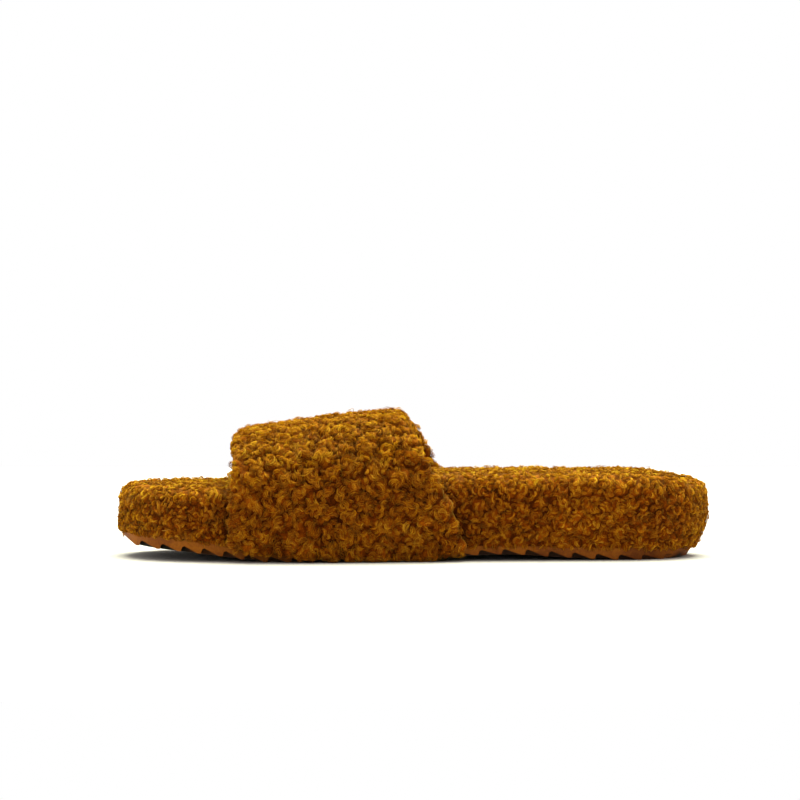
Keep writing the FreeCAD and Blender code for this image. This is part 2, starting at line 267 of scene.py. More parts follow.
def bundles(C, N, size, rng, K, bend, length, girth, strands, thick, rise, stray):
    """Curls: each a C-shaped bundle of strands lying on the surface. Returns the spines' points (m, K, 3), their heights,
    and for each strand its angle round the spine (m, strands, K) and its distance from it."""
    m = len(C)
    r = rng.normal(size=(m, 3))
    T1 = unit(r - np.einsum("ij,ij->i", r, N)[:, None] * N)
    T2 = np.cross(N, T1)
    rho, L = bend * rng.uniform(0.6, 1.8, m), length * size * rng.uniform(0.55, 1.35, m)
    girth = girth * rng.uniform(0.6, 1.3, (m, 1))
    half = np.minimum(0.5 * L / rho, 1.9)
    s = np.linspace(-1, 1, K)[None, :]
    ang = half[:, None] * s
    R = rho[:, None] * (1 - 0.28 * s * rng.uniform(-1, 1, (m, 1)))
    X, Y = R * np.sin(ang), R * np.cos(ang) - rho[:, None] * (np.sin(half) / half)[:, None]
    P = C[:, None, :] + X[..., None] * T1[:, None, :] + Y[..., None] * T2[:, None, :]
    H = rise * rng.uniform(0.1, 1.0, (m, 1)) * (1 - s ** 2) + girth * (0.15 - 0.55 * s ** 4) + girth * 0.55 * rng.uniform(-1, 1, (m, 1)) * s
    j = (np.arange(strands)[None, :, None] + rng.uniform(0.1, 0.9, (m, strands, 1))) / strands
    beta = math.pi * (-0.12 + 1.24 * j) + rng.uniform(-1, 1, (m, 1, 1)) * 1.1 * s[:, None, :] + rng.normal(size=(m, strands, 1)) * 0.35 * s[:, None, :]
    out = (rng.random((m, strands, 1)) < stray) * rng.uniform(0.15, 0.7, (m, strands, 1))
    g = girth[:, :, None] * (0.5 + 0.5 * np.sqrt(1 - 0.9 * s[:, None, :] ** 2)) * rng.uniform(0.55, 1.15, (m, strands, 1)) * rng.uniform(0.8, 1.2, (m, strands, K)) * (1 + out)
    return P, H, beta, g, out


def tubes(P, B, D, w, start):
    """Closed three-sided tubes round the paths: vertices, faces, and for each face corner (along, around)."""
    f, K = P.shape[:2]
    a = np.array([0, 2 * math.pi / 3, 4 * math.pi / 3])
    inner = P[:, 1:-1, None, :] + w[:, 1:-1, None, None] * (np.cos(a)[None, None, :, None] * B[:, 1:-1, None, :] + np.sin(a)[None, None, :, None] * D[:, 1:-1, None, :])
    n = 3 * (K - 2) + 2
    V = np.concatenate([P[:, :1], inner.reshape(f, -1, 3), P[:, -1:]], 1)
    along = np.concatenate([[0.0], np.repeat(np.arange(1, K - 1) / (K - 1), 3), [1.0]])
    quads, qa, tris, ta = [], [], [], []
    idx = lambda ringno, k: 1 + 3 * ringno + (k % 3)
    for r in range(K - 3):
        for k in range(3):
            quads.append([idx(r, k), idx(r, k + 1), idx(r + 1, k + 1), idx(r + 1, k)])
            x0, x1 = (r + 1) / (K - 1), (r + 2) / (K - 1)
            qa.append([[x0, k / 3], [x0, (k + 1) / 3], [x1, (k + 1) / 3], [x1, k / 3]])
    for k in range(3):
        tris.append([0, idx(0, k + 1), idx(0, k)])
        ta.append([[0, (k + .5) / 3], [1 / (K - 1), (k + 1) / 3], [1 / (K - 1), k / 3]])
        tris.append([n - 1, idx(K - 3, k), idx(K - 3, k + 1)])
        ta.append([[1, (k + .5) / 3], [(K - 2) / (K - 1), k / 3], [(K - 2) / (K - 1), (k + 1) / 3]])
    off = (start + n * np.arange(f))[:, None, None]
    Q = (np.array(quads)[None] + off).reshape(-1, 4)
    Tt = (np.array(tris)[None] + off).reshape(-1, 3)
    return V.reshape(-1, 3), Q, Tt, np.array(qa), np.array(ta), along, n


def cell_uv(f, local, box):
    """UV of each fibre's own small cell in box = (u0, v0, u1, v1). local: (faces per fibre, corners, 2)."""
    cols = max(1, int(math.sqrt(f / 3)))
    rows = math.ceil(f / cols)
    w, h = (box[2] - box[0]) / cols, (box[3] - box[1]) / rows
    i = np.arange(f)
    o = np.stack([box[0] + (i % cols) * w, box[1] + (i // cols) * h], 1)
    L = 0.1 + 0.8 * local
    uv = o[:, None, None, :] + L[None] * np.array([w, h])
    return uv.reshape(-1, *local.shape[1:])


# how strongly the painted golden light tints the surfaces facing the toe and the heel
LIT_GOLD_ENDS = 0.6


def fleece(name, G, mask, wrap_v, wrap_u, material, seed, clump, dome, spacing, fibre, caps=False, shade=0.0, lit_gold_all=0.0):
    """A fleece piece: the closed grid surface G, raised into irregular clumps where mask is 1, and packed with curls.
    clump: the clumps' spacing; dome: their height; spacing: the curls' spacing."""
    rng = np.random.default_rng(seed)
    nv, nu = G.shape[:2]
    # shade: painted shade, a painted highlight where negative
    shade = np.zeros((nv, nu)) + shade
    q = grid_faces(nv, nu, wrap_v, wrap_u)[0]
    a, b, c, d = (G.reshape(-1, 3)[q[:, k]] for k in range(4))
    if (np.einsum("ij,ij->i", a, np.cross(b, c)) + np.einsum("ij,ij->i", a, np.cross(c, d))).sum() < 0:
        G, mask, shade = G[:, ::-1], mask[:, ::-1], shade[:, ::-1]
    N = grid_normals(G, wrap_v, wrap_u)
    F, NF, MF, shade = G.reshape(-1, 3), N.reshape(-1, 3), mask.reshape(-1), shade.reshape(-1)
    big = darts(G, mask, clump, rng, wrap_v, wrap_u)[0]
    on = MF > 0.02
    h, owner = np.zeros(len(F)), np.zeros(len(F), int)
    h[on], owner[on] = clumps(warp(F[on], clump), big, clump, rng.uniform(0, 0.45 * clump, len(big)))
    wave = lambda k, a, b: np.sin(F[:, 0] * k + a * np.sin(F[:, 1] * k * 0.6 + F[:, 2] * k * 0.75)) * np.sin(F[:, 1] * k * 0.9 + b * np.sin(F[:, 2] * k * 0.95 + F[:, 0] * k * 0.4))
    lumps = 0.5 + 0.5 * wave(0.42, 2.1, 1.7)
    small = wave(1.5, 1.9, 2.2)
    clump_size, clump_tone, hue_c = rng.uniform(0.5, 1.15, len(big)), rng.normal(size=len(big)) * 0.03, rng.random(len(big))
    amount = dome * (0.52 * h * clump_size[owner] + 0.38 * lumps + 0.10 * small) * MF
    V0 = F + NF * amount[:, None]
    # the base's tone: painted shade down in the crevices and painted light on clump tops and lumps, less the painted
    # shade passed in
    tone0 = np.where(on, 0.02 + 0.24 * h + 0.05 * lumps + clump_tone[owner] - shade, 0.30 - shade)
    lock0 = F * np.array([2.1, 2.3, 2.2])
    quads, ends = grid_faces(nv, nu, wrap_v, wrap_u)
    du = 1.0 / (nu if wrap_u else nu - 1)
    dv = 1.0 / (nv if wrap_v else nv - 1)
    e = ends[:, None, :] + np.array([[0, 0], [0, 1], [1, 1], [1, 0]])[None]
    uvq = np.stack([0.005 + 0.99 * e[..., 1] * du, 0.005 + 0.50 * e[..., 0] * dv], -1)
    faces, uvs = [quads], [uvq]
    verts, tone, hue, lock = [V0], [tone0], [hue_c[owner]], [lock0]
    # painted light: a golden tint where the surface faces up and, weaker, where it faces the toe or the heel
    facing = smooth(0.15 + 0.85 * NF[:, 2]) + LIT_GOLD_ENDS * smooth((np.abs(NF[:, 1]) - 0.55) / 0.4) * (NF[:, 2] > -0.4)
    facing = np.clip(facing + lit_gold_all, 0, 1) * on
    lit_gold = [facing]
    count = len(V0)
    if caps:        # the first and last rows close onto their middles
        for row, flip in ((0, True), (nv - 1, False)):
            verts.append(V0[row * nu:(row + 1) * nu].mean(0)[None])
            tone.append(np.array([0.2]))
            lit_gold.append(np.array([0.0]))
            hue.append(np.array([0.5]))
            lock.append(np.zeros((1, 3)))
            k = np.arange(nu if wrap_u else nu - 1)
            a, b = row * nu + k, row * nu + (k + 1) % nu
            c = np.full(len(k), count)
            faces.append(np.stack([b, a, c] if flip else [a, b, c], 1))
            ang = 2 * math.pi * k / nu
            base = np.array([0.05 + (0.1 if row else 0), 0.55])
            ring_uv = lambda q: base + 0.03 * np.stack([np.cos(q), np.sin(q)], -1)
            q1, q2 = ring_uv(ang), ring_uv(ang + 2 * math.pi / nu)
            mid = np.broadcast_to(base, q1.shape)
            uvs.append(np.stack([q2, q1, mid] if flip else [q1, q2, mid], 1))
            count += 1
    pts, quad, w = darts(G, mask, spacing, rng, wrap_v, wrap_u)
    hc = (w * h[quad]).sum(1)
    keep = hc > rng.uniform(0.0, 0.35, len(hc))               # few curls start in the crevices
    pts, quad, w, hc = pts[keep], quad[keep], w[keep], hc[keep]
    cn = unit(sum(w[:, k, None] * NF[quad[:, k]] for k in range(4)))
    P, H, beta, g, out = bundles(pts, cn, 0.55 + 0.55 * hc, rng, **fibre)
    m, K = H.shape
    kd = tree(F)
    near = np.array([kd.find(p)[1] for p in P.reshape(-1, 3).tolist()])
    flat = P.reshape(-1, 3)
    flat = flat - np.einsum("ij,ij->i", flat - F[near], NF[near])[:, None] * NF[near]
    level = (amount[near] * 1.0).reshape(m, K)
    for _ in range(2):
        level[:, 1:-1] = 0.25 * level[:, :-2] + 0.5 * level[:, 1:-1] + 0.25 * level[:, 2:]
    NN = NF[near].reshape(m, K, 3)
    S = flat.reshape(m, K, 3) + NN * (level + H)[..., None]
    T = unit(np.gradient(S, axis=1))
    side = unit(np.cross(T, NN))
    up = np.cross(side, T)
    n_s = fibre["strands"]
    P = S[:, None] + g[..., None] * (np.cos(beta)[..., None] * side[:, None] + np.sin(beta)[..., None] * up[:, None])
    f = m * n_s
    high = np.sin(beta).reshape(f, K)
    P = P.reshape(f, K, 3)
    NP = np.repeat(NN, n_s, axis=0)
    T = unit(np.gradient(P, axis=1))
    B = unit(np.cross(T, NP))
    D = np.cross(T, B)
    s = np.linspace(-1, 1, K)[None, :]
    wd = fibre["thick"] * rng.uniform(0.75, 1.25, (f, 1)) * (0.4 + 0.6 * np.sqrt(1 - 0.94 * s ** 2))
    tv, tq, tt, qa, ta, along, n = tubes(P, B, D, wd, count)
    verts.append(tv)
    faces += [tq, tt]
    uvs += [cell_uv(f, qa, (0.0, 0.60, 1.0, 1.0)), cell_uv(f, ta, (0.0, 0.60, 1.0, 1.0))]
    per = np.concatenate([[0], np.repeat(np.arange(1, K - 1), 3), [K - 1]])
    rnd = rng.random(f)
    of = lambda x: np.repeat(x, n_s, axis=0)
    curl_tone = rng.normal(size=m) * 0.045 + clump_tone[owner[near.reshape(m, K)[:, K // 2]]]
    hn = h[near].reshape(m, K)
    # each fibre's tone: painted shade down in the crevices, painted light on each bundle's upper strands and middle,
    # stray strands a little lighter, random spread per fibre and curl, less the painted shade passed in
    tf = 0.18 + 0.08 * high + 0.25 * of(hn) + 0.06 * (1 - s ** 2) + 0.34 * (rnd[:, None] - 0.5) + of(curl_tone)[:, None] + 0.06 * out.reshape(f, 1) - of(shade[near].reshape(m, K))
    tone.append(tf[:, per].ravel())
    lit_gold.append(of(facing[near].reshape(m, K))[:, per].ravel())
    hue.append(np.repeat(of(rng.random(m)) * 0.6 + 0.4 * rnd, n))
    lock.append(np.stack([np.repeat(rnd * 97.0, n), np.tile(np.linspace(0, 2.4, K)[per], f), np.repeat(of(np.arange(m)) * 1.3, n)], 1))
    V = np.concatenate(verts)
    V[:, 2] = np.where(V[:, 2] < 1, 0.15 + 0.85 * np.exp((np.minimum(V[:, 2], 1) - 1) / 0.85), V[:, 2])      # pressed flat on the floor
    o = build(name, V, faces, uvs, np.concatenate(tone), np.concatenate(hue), np.concatenate(lock), material, np.concatenate(lit_gold))
    print("FLEECE", name, "curls", m, "strands", f, "base", 2 * len(quads), "triangles", int(sum(len(x) * (x.shape[1] - 2) for x in faces)), "t", round(time.time() - T0, 1))
    return o


# ------------------------------------------------------------------ materials
def new_material(name):
    m = bpy.data.materials.new(name)
    m.use_nodes = True
    nt = m.node_tree
    nt.nodes.clear()
    out = nt.nodes.new("ShaderNodeOutputMaterial")
    b = nt.nodes.new("ShaderNodeBsdfPrincipled")
    nt.links.new(b.outputs[0], out.inputs[0])
    return m, nt, b


def node(nt, kind, **vals):
    n = nt.nodes.new(kind)
    for k, v in vals.items():
        if k in n.inputs.keys():
            n.inputs[k].default_value = v
        else:
            setattr(n, k, v)
    return n


def ramp(nt, fac, stops):
    r = nt.nodes.new("ShaderNodeValToRGB")
    els = r.color_ramp.elements
    while len(els) < len(stops):
        els.new(0.5)
    for e, (p, c) in zip(els, stops):
        e.position, e.color = p, (*c, 1.0)
    nt.links.new(fac, r.inputs[0])
    return r.outputs[0]


def math_node(nt, op, a, b=None, c=None, clamp=False):
    n = nt.nodes.new("ShaderNodeMath")
    n.operation, n.use_clamp = op, clamp
    for i, v in enumerate((a, b, c)):
        if v is None:
            continue
        if isinstance(v, (int, float)):
            n.inputs[i].default_value = v
        else:
            nt.links.new(v, n.inputs[i])
    return n.outputs[0]


def srgb(r, g, b):
    f = lambda c: c / 255 / 12.92 if c / 255 <= 0.04045 else ((c / 255 + 0.055) / 1.055) ** 2.4
    return (f(r), f(g), f(b))


def coords(nt):
    return node(nt, "ShaderNodeTexCoord").outputs["Object"]


def noise(nt, vec, scale, detail=3.0, rough=0.6, distortion=0.0):
    n = node(nt, "ShaderNodeTexNoise", Scale=scale, Detail=detail, Roughness=rough, Distortion=distortion)
    nt.links.new(vec, n.inputs["Vector"])
    return n.outputs["Fac"]


def bump(nt, b, height, strength, distance):
    n = node(nt, "ShaderNodeBump", Strength=strength, Distance=distance)
    nt.links.new(height, n.inputs["Height"])
    nt.links.new(n.outputs[0], b.inputs["Normal"])


def fleece_material(name, stops, gain=1.0, fine=1500.0):
    """Curly wool: painted shade at the roots and painted light on the tips, from the tone attribute; each tuft and
    fibre a little different, fine streaks; a golden painted light tint from the lit_gold attribute.
    """
    m, nt, b = new_material(name)
    p = coords(nt)
    tone = node(nt, "ShaderNodeAttribute", attribute_name="tone").outputs["Fac"]
    hue = node(nt, "ShaderNodeAttribute", attribute_name="hue").outputs["Fac"]
    lock = node(nt, "ShaderNodeAttribute", attribute_name="lock").outputs["Vector"]
    streak = noise(nt, lock, 1.0, 2.0, 0.6, 0.5)
    grain = noise(nt, p, fine, 2.0, 0.6, 1.0)
    patch = noise(nt, p, 45.0, 2.0, 0.5)
    t = math_node(nt, "MULTIPLY_ADD", streak, 0.50, tone)
    t = math_node(nt, "MULTIPLY_ADD", grain, 0.86, t)
    t = math_node(nt, "MULTIPLY_ADD", hue, 0.10, t)
    t = math_node(nt, "MULTIPLY_ADD", patch, 0.24, t)
    t = math_node(nt, "SUBTRACT", t, 0.86, clamp=True)
    col = ramp(nt, t, [(q, tuple(gain * x for x in srgb(*c))) for q, c in stops])
    # painted light: the colour is tinted golden where lit_gold marks surfaces that catch the light
    mix = node(nt, "ShaderNodeMix", data_type="RGBA", blend_type="MULTIPLY")
    nt.links.new(node(nt, "ShaderNodeAttribute", attribute_name="lit_gold").outputs["Fac"], mix.inputs["Factor"])
    nt.links.new(col, mix.inputs[6])
    mix.inputs[7].default_value = (1.04, 1.32, 0.90, 1)
    nt.links.new(mix.outputs[2], b.inputs["Base Color"])
    rough = math_node(nt, "MULTIPLY_ADD", streak, 0.15, 0.78)
    nt.links.new(rough, b.inputs["Roughness"])
    b.inputs["Specular IOR Level"].default_value = 0.02
    b.inputs["Sheen Weight"].default_value = 0.28
    b.inputs["Sheen Roughness"].default_value = 0.42
    b.inputs["Sheen Tint"].default_value = (1.0, 0.66, 0.10, 1.0)
    bump(nt, b, math_node(nt, "MULTIPLY_ADD", grain, 0.5, streak), 0.6, 0.0005)
    return m


WOOL = [(0.0, (46, 14, 0)), (0.25, (97, 39, 0)), (0.5, (148, 75, 4)), (0.75, (189, 124, 17)), (1.0, (227, 174, 46))]
strap_wool = fleece_material("strap_fleece", WOOL, 1.10, 1900.0)
wrap_wool = fleece_material("wrap_fleece", WOOL, 1.12, 2100.0)
sock_wool = fleece_material("sock_fleece", WOOL, 0.96, 2100.0)
lining_wool = fleece_material("lining_fleece", WOOL, 1.1, 2100.0)

# moulded tan rubber: faint mottling, fine grain, scuffed darker patches
rubber, nt, b = new_material("outsole_rubber")
p = coords(nt)
big, small = noise(nt, p, 60.0, 4.0, 0.6, 0.4), noise(nt, p, 900.0, 3.0, 0.6)
fac = math_node(nt, "MULTIPLY_ADD", small, 0.35, big)
xyz = node(nt, "ShaderNodeSeparateXYZ")
nt.links.new(p, xyz.inputs[0])
fac = math_node(nt, "MULTIPLY_ADD", xyz.outputs[1], -0.7, fac)           # a little paler towards the toe
col = ramp(nt, math_node(nt, "SUBTRACT", fac, 0.17), [(0.30, srgb(92, 43, 3)), (0.5, srgb(119, 62, 5)), (0.72, srgb(142, 80, 10))])
# painted shade deep in the tread grooves, more than 2 mm inside the sole's edge
along = math_node(nt, "MULTIPLY_ADD", xyz.outputs[1], 1 / (LENGTH * MM), 0.5)
Q, NQ = ring(600)
Q = Q - NQ * (env_inset(4) + smooth((Q[:, 1] - 95) / 40) * env_heel(4) + smooth((-Q[:, 1] - 98) / 38) * env_toe(4))[:, None]
y = np.interp(np.cos(np.linspace(math.pi, 0, 30)), [-1, 1], [Q[:, 1].min(), Q[:, 1].max()])
stations = y / LENGTH + 0.5
edge = {}
for sgn in (1, -1):
    half = np.array(sorted([(q[1], sgn * q[0]) for q in Q if sgn * q[0] > 0]))
    lim = np.interp(y, half[:, 0], half[:, 1], left=0, right=0)
    r = ramp(nt, along, [(float(q), (float(max(v, 0)) / 60,) * 3) for q, v in zip(stations, lim)])
    edge[sgn] = math_node(nt, "SUBTRACT", math_node(nt, "MULTIPLY", r, 60.0), math_node(nt, "MULTIPLY_ADD", xyz.outputs[0], sgn / MM, -sgn * SHIFT[0]))
groove_shade = math_node(nt, "MULTIPLY", math_node(nt, "SUBTRACT", math_node(nt, "MINIMUM", edge[1], edge[-1]), 2.0), 0.5, clamp=True)
for k, y_end in ((1, 124.5), (-1, 133.0)):             # and none on the sole's two ends
    groove_shade = math_node(nt, "MULTIPLY", groove_shade, math_node(nt, "MULTIPLY_ADD", xyz.outputs[1], -0.5 * k / MM, 0.5 * y_end, clamp=True))
# the near-black groove colour is painted shade
mix = node(nt, "ShaderNodeMix", data_type="RGBA")
nt.links.new(groove_shade, mix.inputs["Factor"])
nt.links.new(col, mix.inputs[6])
mix.inputs[7].default_value = (*srgb(30, 27, 20), 1)
nt.links.new(mix.outputs[2], b.inputs["Base Color"])
nt.links.new(math_node(nt, "MULTIPLY_ADD", big, 0.3, 0.45), b.inputs["Roughness"])
b.inputs["Specular IOR Level"].default_value = 0.1
bump(nt, b, math_node(nt, "MULTIPLY_ADD", small, 0.6, math_node(nt, "MULTIPLY", big, 0.6)), 0.35, 0.0004)


def plain(name, dark, light, scale, rough, depth, kind="noise"):
    """An inner material: foam cells, pressed fibres, felt, woven tape or twisted thread."""
    m, nt, b = new_material(name)
    p = coords(nt)
    if kind == "cells":
        v = node(nt, "ShaderNodeTexVoronoi", Scale=scale)
        nt.links.new(p, v.inputs["Vector"])
        h = v.outputs["Distance"]
    elif kind == "weave":
        w1 = node(nt, "ShaderNodeTexWave", Scale=scale, Distortion=0.6)
        w2 = node(nt, "ShaderNodeTexWave", Scale=scale, Distortion=0.6, bands_direction="Z")
        nt.links.new(p, w1.inputs["Vector"])
        nt.links.new(p, w2.inputs["Vector"])
        h = math_node(nt, "MAXIMUM", w1.outputs["Fac"], w2.outputs["Fac"])
    else:
        h = noise(nt, p, scale, 5.0, 0.65, 0.8)
    nt.links.new(ramp(nt, h, [(0.2, srgb(*dark)), (0.8, srgb(*light))]), b.inputs["Base Color"])
    nt.links.new(math_node(nt, "MULTIPLY_ADD", h, 0.15, rough), b.inputs["Roughness"])
    b.inputs["Specular IOR Level"].default_value = 0.04
    bump(nt, b, h, 0.4, depth)
    return m


thread_m = plain("sewing_thread", (78, 40, 4), (122, 70, 12), 2200.0, 0.85, 0.0002, "weave")
INNER = {
    "bottom_filler": plain("filler_felt", (120, 110, 92), (168, 158, 138), 700.0, 0.85, 0.0004),
    "platform_core": plain("eva_foam", (196, 182, 150), (226, 214, 186), 1200.0, 0.7, 0.0002, "cells"),
    "insole_board": plain("insole_board", (140, 112, 74), (178, 150, 108), 500.0, 0.8, 0.0002),
    "footbed_pad": plain("footbed_foam", (206, 196, 172), (232, 224, 204), 900.0, 0.75, 0.0003, "cells"),
    "vamp_foam": plain("strap_foam", (150, 98, 34), (182, 128, 54), 900.0, 0.75, 0.0003, "cells"),
    "vamp_front_stay_tape": plain("stay_tape", (110, 66, 18), (146, 94, 32), 1500.0, 0.8, 0.0002, "weave"),
}
INNER["vamp_rear_stay_tape"] = INNER["vamp_front_stay_tape"]
for n in ("lasting_thread", "sock_seam_thread", "wrap_closing_thread", "vamp_front_edge_thread", "vamp_rear_edge_thread"):
    INNER[n] = thread_m
for n, m in list(INNER.items()) + [("outsole", rubber)]:
    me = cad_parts[n].data
    if not me.materials:
        me.materials.append(m)
    for i in range(len(me.materials)):
        me.materials[i] = m
for n, m in (("sock_cover", sock_wool), ("platform_wrap", wrap_wool), ("vamp_outer", strap_wool), ("vamp_lining", lining_wool)):
    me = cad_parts[n].data
    for i in range(len(me.materials)):
        me.materials[i] = m

# ------------------------------------------------------------------ platform wrap
NU = 800
P2, N2 = ring(NU)
Y = P2[:, 1]
zb, zt = sole_top(Y), rim_top(Y)
INSET = 0.9          # the tufts stand this much above the skin, so the skin is that much smaller


def wrap_profile(zb, zt, y):
    """(inset, z) round the wrap's section at one place, and its pile mask, even steps along it."""
    heel, toe = smooth((y - 95) / 40), smooth((-y - 98) / 38)
    e = lambda z: env_inset(z) + heel * env_heel(z) + toe * env_toe(z) + INSET
    r = 7.0
    top = zt - INSET
    lip = e(zb + 1) - 1.0 + 1.5 * heel                     # the fleece swells out just above the sole and hangs over its edge a little
    pts = [(13.0, zb + 1.4, 0), (13.0, zb + 0.15, 0), (7.5, zb + 0.15, 0), (lip + 1.4, zb + 0.1, 0.2), (lip + 0.35, zb - 0.25, 0.8), (lip - 0.1, zb + 0.5, 1)]
    for k in range(1, 9):
        z = zb + 1.4 + (top - r - zb - 1.4) * k / 8
        pts.append((e(z) + (1.5 * heel - 1.0) * max(0.0, 1 - (z - zb - 1) / 7), z, 1))
    ec = e(top - r) + r
    for k in range(1, 9):
        a = math.pi / 2 * k / 8
        pts.append((ec - r * math.cos(a), top - r + r * math.sin(a), 1))
    pts += [(RIM - 1.2, top + 0.1, 1), (RIM - 0.4, top - 1.2, 1), (RIM - 0.05, top - 2.6, 0.4), (RIM - 0.05, zt - 4.2, 0), (6.0, zt - 4.3, 0), (5.8, zb + 1.9, 0), (12.9, zb + 1.6, 0)]
    return np.array(pts)


prof = [wrap_profile(zb[i], zt[i], Y[i]) for i in range(0, NU, 8)]
prof = [evenly(p, 96, True) for p in prof]
grid = np.array(prof)                                     # (100, 96, 3)
grid = np.concatenate([grid, grid[:1]])
f = np.arange(NU) / 8
i0 = np.floor(f).astype(int)
w = (f - i0)[:, None, None]
full = grid[i0] * (1 - w) + grid[i0 + 1] * w               # (NU, 96, 3)
G = np.zeros((96, NU, 3))
G[..., :2] = P2[None] - N2[None] * full[:, :, 0].T[..., None]
G[..., 2] = full[:, :, 1].T
M = full[:, :, 2].T.copy()
under = ((G[..., 1] > -79) & (G[..., 1] < rear_y(G[..., 2]) - 7)) & (np.abs(G[..., 0]) > 10) & (G[..., 2] < zt[None] - 3.0)
M[under] *= 0.0
# painted shadow on the wrap beside the strap's front and rear edges, and a painted highlight along the top of the rim
strap_edge_shadow = np.where(np.abs(G[..., 0]) > 20, np.exp(-np.clip(front_y(G[..., 2]) - G[..., 1], 0, 99) / 3.5) * (G[..., 1] < -80)
                  + np.exp(-np.clip(G[..., 1] - rear_y(G[..., 2]), 0, 99) / 4.5) * (G[..., 1] > 0), 0)
rim_crest_highlight = smooth((G[..., 2] - zt[None] + 7) / 6)
SH = 0.20 * strap_edge_shadow - 0.10 * rim_crest_highlight
wrap = fleece("wrap_fleece", G, M, True, True, wrap_wool, 11, 4.8, 2.0, 1.85,
              dict(K=6, bend=1.25, length=3.9, girth=0.75, strands=10, thick=0.095, rise=0.32, stray=0.10), shade=SH)
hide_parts("platform_wrap")

# ------------------------------------------------------------------ sock on the footbed
NU, NV = 640, 48
P2, N2 = ring(NU)
spine_y = np.clip(P2[:, 1], -92, 97)
spine = np.stack([(outer_x(spine_y) - inner_x(spine_y)) / 2, spine_y], 1)
start = P2 - N2 * (RIM + 0.15)
rows, furrow_shade = [], []
for k in range(NV):                                       # top: from the middle out to the rim
    t = 1 - (k / (NV - 1)) ** 1.0
    xy = start * (1 - t) + spine * t
    edge = np.linalg.norm(xy - start, axis=1)
    crown = 4.1 * (1 - np.exp(-edge / 9.0))               # lowest beside the seam
    rows.append(np.column_stack([xy, rim_top(xy[:, 1]) - SOCK_DROP - 2.5 + crown]))
    furrow_shade.append(np.exp(-(edge / 7.5) ** 2))
bottom = []
for k in range(6):
    t = k / 5
    xy = start * (1 - t) + spine * t
    bottom.append(np.column_stack([xy, rim_top(xy[:, 1]) - SOCK_DROP - 3.5]))
G = np.array(rows + bottom)
M = np.concatenate([np.ones((NV, NU)), np.zeros((6, NU))])
# painted shade in the furrow beside the seam, and the rest of the sock's top a little lighter
sock = fleece("sock_fleece", G, M, False, True, sock_wool, 12, 4.8, 1.7, 2.05,
              dict(K=6, bend=1.25, length=3.9, girth=0.75, strands=9, thick=0.10, rise=0.32, stray=0.08), caps=True,
              shade=np.concatenate([0.30 * np.array(furrow_shade) - 0.07, np.zeros((6, NU))]))
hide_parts("sock_cover")

# ------------------------------------------------------------------ strap
HUG = [(-3.0, -1.9), (5.0, -1.75), (13.0, -0.75), (21.0, 0.15), (30.0, CLEAR)]
NT = 260


def open_spline(P, n):
    """n points evenly spaced along the natural cubic spline through P."""
    P = np.array(P, float)
    h = np.linalg.norm(np.diff(P, axis=0), axis=1)
    m = len(P)
    A, R = np.eye(m), np.zeros((m, P.shape[1]))
    for i in range(1, m - 1):
        A[i, i - 1:i + 2] = h[i - 1], 2 * (h[i - 1] + h[i]), h[i]
        R[i] = 6 * ((P[i + 1] - P[i]) / h[i] - (P[i] - P[i - 1]) / h[i - 1])
    M = np.linalg.solve(A, R)
    out = []
    for i in range(m - 1):
        t = np.linspace(0, h[i], 30, endpoint=(i == m - 2))[:, None]
        a, b = h[i] - t, t
        out.append(M[i] * a ** 3 / (6 * h[i]) + M[i + 1] * b ** 3 / (6 * h[i]) + (P[i] / h[i] - M[i] * h[i] / 6) * a + (P[i + 1] / h[i] - M[i + 1] * h[i] / 6) * b)
    return evenly(np.concatenate(out), n, False)


def arch(y, side_t, top_t, floor):
    """The strap's section line at y, outer side to inner side, cut off at floor: NT points (x, z)."""
    wo, wi = outer_x(y), inner_x(y)
    xc, a = (wo - wi) / 2, (wo + wi) / 2 + CLEAR + side_t
    h = strap_top(y) - STRAP_TOP_T - SPRING + top_t
    pts = [(wo + d + side_t, z) for z, d in HUG]
    for k in range(1, 12):
        t = math.pi * k / 12
        c, s = math.cos(t), math.sin(t)
        pts.append((xc + a * math.copysign(abs(c) ** (2 / 2.4), c), SPRING + h * s ** (2 / 2.4)))
    pts += [(-(wi + d + side_t), z) for z, d in reversed(HUG)]
    L = open_spline(pts, 900)
    keep = L[L[:, 1] > floor]
    return evenly(keep, NT, False)


STY = np.linspace(-94, 36, 53)
strap_floor = lambda y: tip_line(y) + 2.2 + 1.1 * smooth((-36 - y) / 16) + 1.3 * smooth((-48 - y) / 16)
FUR, LFUR = 2.4, 1.2        # how far the tufts stand above the skins of the strap and of its lining
S_OUT = np.array([arch(y, STRAP_SIDE_T - FUR, STRAP_TOP_T - FUR, strap_floor(y)) for y in STY])
S_IN = np.array([arch(y, LFUR * 0.6, LFUR, strap_floor(y)) for y in STY])


def on_strap(S, y, t):
    """x, z of a strap surface at y (mm) and t (0 to 1 across)."""
    fy = np.clip((y - STY[0]) / (STY[1] - STY[0]), 0, len(STY) - 1.001)
    ft = np.clip(t, 0, 1) * (NT - 1.0001)
    i, j = np.floor(fy).astype(int), np.floor(ft).astype(int)
    a, b = (fy - i)[..., None], (ft - j)[..., None]
    return (S[i, j] * (1 - a) + S[i + 1, j] * a) * (1 - b) + (S[i, j + 1] * (1 - a) + S[i + 1, j + 1] * a) * b


